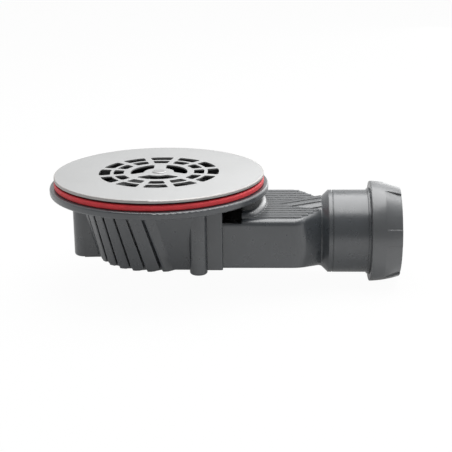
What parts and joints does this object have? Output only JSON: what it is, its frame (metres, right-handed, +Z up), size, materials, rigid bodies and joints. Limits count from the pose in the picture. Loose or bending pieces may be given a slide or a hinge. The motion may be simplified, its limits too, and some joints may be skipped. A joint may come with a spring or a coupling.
{
  "type": "shower trap",
  "caption": "Low shower trap with a round slotted grating, red tray gasket, reeded cup, flat side channel and a union nut on its horizontal outlet.",
  "frame": {"origin": "on the axis of the waste, at the underside of the shower tray (top face of the gasket)", "axes": "+Z up through the grating, +X along the horizontal outlet"},
  "size_m": [0.192, 0.12, 0.0621],
  "materials": {
    "satin_steel": "satin pressed stainless sheet",
    "rivet_steel": "bright stainless rivet",
    "screw_steel": "plain stainless",
    "insert_brass": "turned",
    "dark_plastic": "moulded, near black",
    "grey_plastic": "moulded, satin dark grey",
    "nut_plastic": "moulded, satin dark grey",
    "pale_plastic": "natural, smooth",
    "red_rubber": "matte red",
    "black_rubber": "matte black"
  },
  "bodies": {
    "trap": {"cover_plate": "satin_steel", "cover_rivet": "rivet_steel", "cover_carrier": "dark_plastic", "clamping_ring": "dark_plastic", "clamp_screw_1": "screw_steel", "clamp_screw_2": "screw_steel", "clamp_screw_3": "screw_steel", "thread_insert_1": "insert_brass", "thread_insert_2": "insert_brass", "thread_insert_3": "insert_brass", "gasket": "red_rubber", "trap_body": "grey_plastic", "trap_insert": "dark_plastic", "insert_o_ring": "black_rubber", "seal_ring": "black_rubber"},
    "nut_slide": {"slip_washer": "pale_plastic"},
    "nut": {"union_nut": "nut_plastic"}
  },
  "joints": [
    {"name": "nut_travel", "type": "slide", "parent": "trap", "child": "nut_slide", "axis": [1, 0, 0], "range_m": [0, 0.009]},
    {"name": "nut_turn", "type": "hinge", "parent": "nut_slide", "child": "nut", "pos_m": [0.124, 0, -0.0312], "axis": [1, 0, 0], "range_deg": [0, 1080]}
  ],
  "couplings": [
    {"joint": "nut_travel", "follows": "nut_turn", "m_per_rad": 0.00047746}
  ]
}
